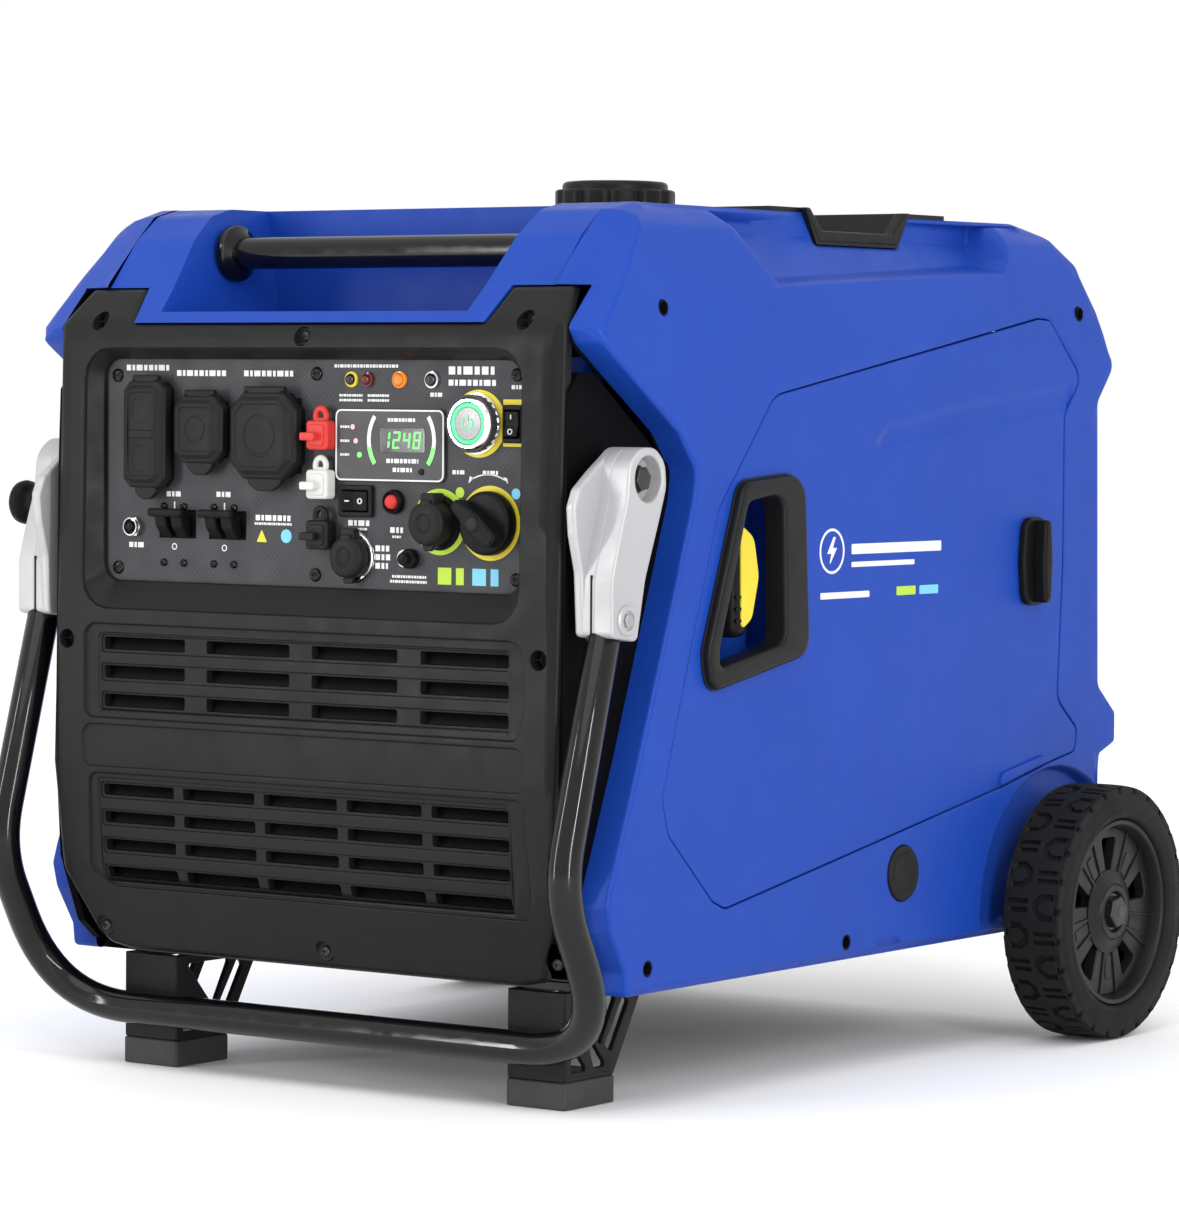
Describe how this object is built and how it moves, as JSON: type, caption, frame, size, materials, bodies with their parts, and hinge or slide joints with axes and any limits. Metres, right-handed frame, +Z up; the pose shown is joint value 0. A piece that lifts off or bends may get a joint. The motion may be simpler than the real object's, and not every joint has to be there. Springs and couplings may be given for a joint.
{
  "type": "portable inverter generator",
  "caption": "Closed-frame portable inverter generator with a recessed control panel, folding tow handle, top grab bar, recoil starter window, two rear wheels and front feet.",
  "frame": {"origin": "on the ground, under the middle of the overall box (feet, wheels, stowed tow handle)", "axes": "+Z up; the control panel faces -Y; +X is the side with the service door and recoil starter; the wheel axle runs along X at the rear (+Y)"},
  "size_m": [0.672, 0.8113, 0.702],
  "materials": {
    "blue_plastic": "satin",
    "black_plastic": "satin",
    "dark_plastic": "matte",
    "black_paint": "gloss",
    "rubber": "matte",
    "tyre": "matte",
    "cast_aluminium": "sand cast",
    "steel": "zinc plated",
    "panel_print": "matte printed",
    "red_plastic": "gloss",
    "white_plastic": "gloss",
    "green_button": "gloss",
    "display_glass": "gloss",
    "engine_metal": "cast"
  },
  "bodies": {
    "housing": {"side_shell_right": "blue_plastic", "side_shell_left": "blue_plastic", "recoil_pocket": "blue_plastic", "recoil_starter": "dark_plastic", "front_cover": "blue_plastic", "grab_bar": "black_paint", "top_tray": "black_plastic", "rear_cover": "blue_plastic", "rear_panel": "black_plastic", "base_tray": "black_paint", "front_fascia": "black_plastic", "front_frame": "black_paint", "control_plate": "panel_print", "outlet_duplex": "dark_plastic", "outlet_locking": "dark_plastic", "outlet_range": "dark_plastic", "display_module": "display_glass", "pivot_bolt_right": "steel", "pivot_bolt_left": "steel", "axle": "steel", "foot_pad_right": "rubber", "foot_pad_left": "rubber", "foot_bracket_right": "black_paint", "foot_bracket_left": "black_paint", "fuel_tank": "dark_plastic", "engine": "engine_metal", "alternator": "engine_metal", "muffler": "steel", "inverter": "engine_metal", "battery": "dark_plastic"},
    "tow_handle": {"handle_tube": "black_paint", "handle_bracket_right": "cast_aluminium", "handle_bracket_left": "cast_aluminium"},
    "lock_pin": {"lock_knob": "black_plastic"},
    "wheel_right": {"tyre_right": "tyre", "wheel_hub_right": "dark_plastic"},
    "wheel_left": {"tyre_left": "tyre", "wheel_hub_left": "dark_plastic"},
    "fuel_cap": {"fuel_cap": "black_plastic"},
    "start_button": {"start_button": "green_button"},
    "reset_button": {"reset_button": "red_plastic"},
    "push_breaker": {"push_breaker": "white_plastic"},
    "breaker_30": {"breaker_toggle_30": "dark_plastic"},
    "breaker_50": {"breaker_toggle_50": "dark_plastic"},
    "battery_switch": {"battery_switch": "dark_plastic"},
    "eco_switch": {"eco_switch": "dark_plastic"},
    "fuel_dial": {"fuel_dial": "dark_plastic"},
    "lid_duplex": {"lid_duplex": "rubber"},
    "lid_locking": {"lid_locking": "rubber"},
    "lid_range": {"lid_range": "rubber"},
    "charge_port_cap": {"charge_port_cap": "rubber"},
    "signal_port_cap": {"signal_port_cap": "rubber"},
    "parallel_cap_red": {"parallel_cap_red": "red_plastic"},
    "parallel_cap_white": {"parallel_cap_white": "white_plastic"},
    "parallel_cap_black": {"parallel_cap_black": "rubber"},
    "service_door": {"service_door": "blue_plastic", "window_frame": "black_plastic"},
    "door_latch": {"latch_knob": "black_plastic"},
    "recoil_grip": {"recoil_grip": "dark_plastic"},
    "side_plug": {"side_plug": "rubber"}
  },
  "joints": [
    {"name": "tow_handle_swing", "type": "hinge", "parent": "housing", "child": "tow_handle", "pos_m": [0, -0.31475, 0.468], "axis": [-1, 0, 0], "range_deg": [0, 100]},
    {"name": "lock_pin_pull", "type": "slide", "parent": "tow_handle", "child": "lock_pin", "axis": [-1, 0, 0], "range_m": [0, 0.008], "stiffness_N_per_m": 400},
    {"name": "wheel_right_spin", "type": "hinge", "parent": "housing", "child": "wheel_right", "pos_m": [0.3, 0.30085, 0.1048], "axis": [1, 0, 0], "continuous": true},
    {"name": "wheel_left_spin", "type": "hinge", "parent": "housing", "child": "wheel_left", "pos_m": [-0.3, 0.30085, 0.1048], "axis": [1, 0, 0], "continuous": true},
    {"name": "fuel_cap_turn", "type": "hinge", "parent": "housing", "child": "fuel_cap", "pos_m": [0, 0.04325, 0.69], "axis": [0, 0, 1], "range_deg": [0, 90]},
    {"name": "start_button_press", "type": "slide", "parent": "housing", "child": "start_button", "axis": [0, 1, 0], "range_m": [0, 0.0025], "stiffness_N_per_m": 600},
    {"name": "reset_button_press", "type": "slide", "parent": "housing", "child": "reset_button", "axis": [0, 1, 0], "range_m": [0, 0.003], "stiffness_N_per_m": 400},
    {"name": "push_breaker_press", "type": "slide", "parent": "housing", "child": "push_breaker", "axis": [0, 1, 0], "range_m": [0, 0.003], "stiffness_N_per_m": 400},
    {"name": "breaker_30_throw", "type": "hinge", "parent": "housing", "child": "breaker_30", "pos_m": [-0.132, -0.34075, 0.427], "axis": [1, 0, 0], "range_deg": [0, 22]},
    {"name": "breaker_50_throw", "type": "hinge", "parent": "housing", "child": "breaker_50", "pos_m": [-0.082, -0.34075, 0.427], "axis": [1, 0, 0], "range_deg": [0, 22]},
    {"name": "battery_switch_rock", "type": "hinge", "parent": "housing", "child": "battery_switch", "pos_m": [0.1905, -0.34475, 0.507], "axis": [1, 0, 0], "range_deg": [-7, 7]},
    {"name": "eco_switch_rock", "type": "hinge", "parent": "housing", "child": "eco_switch", "pos_m": [0.0445, -0.34475, 0.448], "axis": [0, 0, 1], "range_deg": [-6, 6]},
    {"name": "fuel_dial_turn", "type": "hinge", "parent": "housing", "child": "fuel_dial", "pos_m": [0.17, -0.34875, 0.434], "axis": [0, -1, 0], "range_deg": [0, 90]},
    {"name": "lid_duplex_lift", "type": "hinge", "parent": "housing", "child": "lid_duplex", "pos_m": [-0.1557, -0.36075, 0.5355], "axis": [-1, 0, 0], "range_deg": [0, 95]},
    {"name": "lid_locking_lift", "type": "hinge", "parent": "housing", "child": "lid_locking", "pos_m": [-0.1015, -0.36075, 0.5245], "axis": [-1, 0, 0], "range_deg": [0, 95]},
    {"name": "lid_range_lift", "type": "hinge", "parent": "housing", "child": "lid_range", "pos_m": [-0.0375, -0.36075, 0.5275], "axis": [-1, 0, 0], "range_deg": [0, 95]},
    {"name": "charge_port_cap_lift", "type": "hinge", "parent": "housing", "child": "charge_port_cap", "pos_m": [0.122, -0.35475, 0.452], "axis": [-1, 0, 0], "range_deg": [0, 95]},
    {"name": "signal_port_cap_lift", "type": "hinge", "parent": "housing", "child": "signal_port_cap", "pos_m": [0.042, -0.35475, 0.4245], "axis": [-1, 0, 0], "range_deg": [0, 95]},
    {"name": "parallel_cap_red_pull", "type": "slide", "parent": "housing", "child": "parallel_cap_red", "axis": [0, -1, 0], "range_m": [0, 0.02]},
    {"name": "parallel_cap_white_pull", "type": "slide", "parent": "housing", "child": "parallel_cap_white", "axis": [0, -1, 0], "range_m": [0, 0.02]},
    {"name": "parallel_cap_black_pull", "type": "slide", "parent": "housing", "child": "parallel_cap_black", "axis": [0, -1, 0], "range_m": [0, 0.02]},
    {"name": "service_door_lift", "type": "slide", "parent": "housing", "child": "service_door", "axis": [1, 0, 0], "range_m": [0, 0.08]},
    {"name": "door_latch_turn", "type": "hinge", "parent": "service_door", "child": "door_latch", "pos_m": [0.28, 0.25725, 0.394], "axis": [1, 0, 0], "range_deg": [0, 90]},
    {"name": "recoil_grip_pull", "type": "slide", "parent": "housing", "child": "recoil_grip", "axis": [1, 0, 0], "range_m": [0, 0.3], "stiffness_N_per_m": 20},
    {"name": "side_plug_pull", "type": "slide", "parent": "housing", "child": "side_plug", "axis": [1, 0, 0], "range_m": [0, 0.015]}
  ]
}
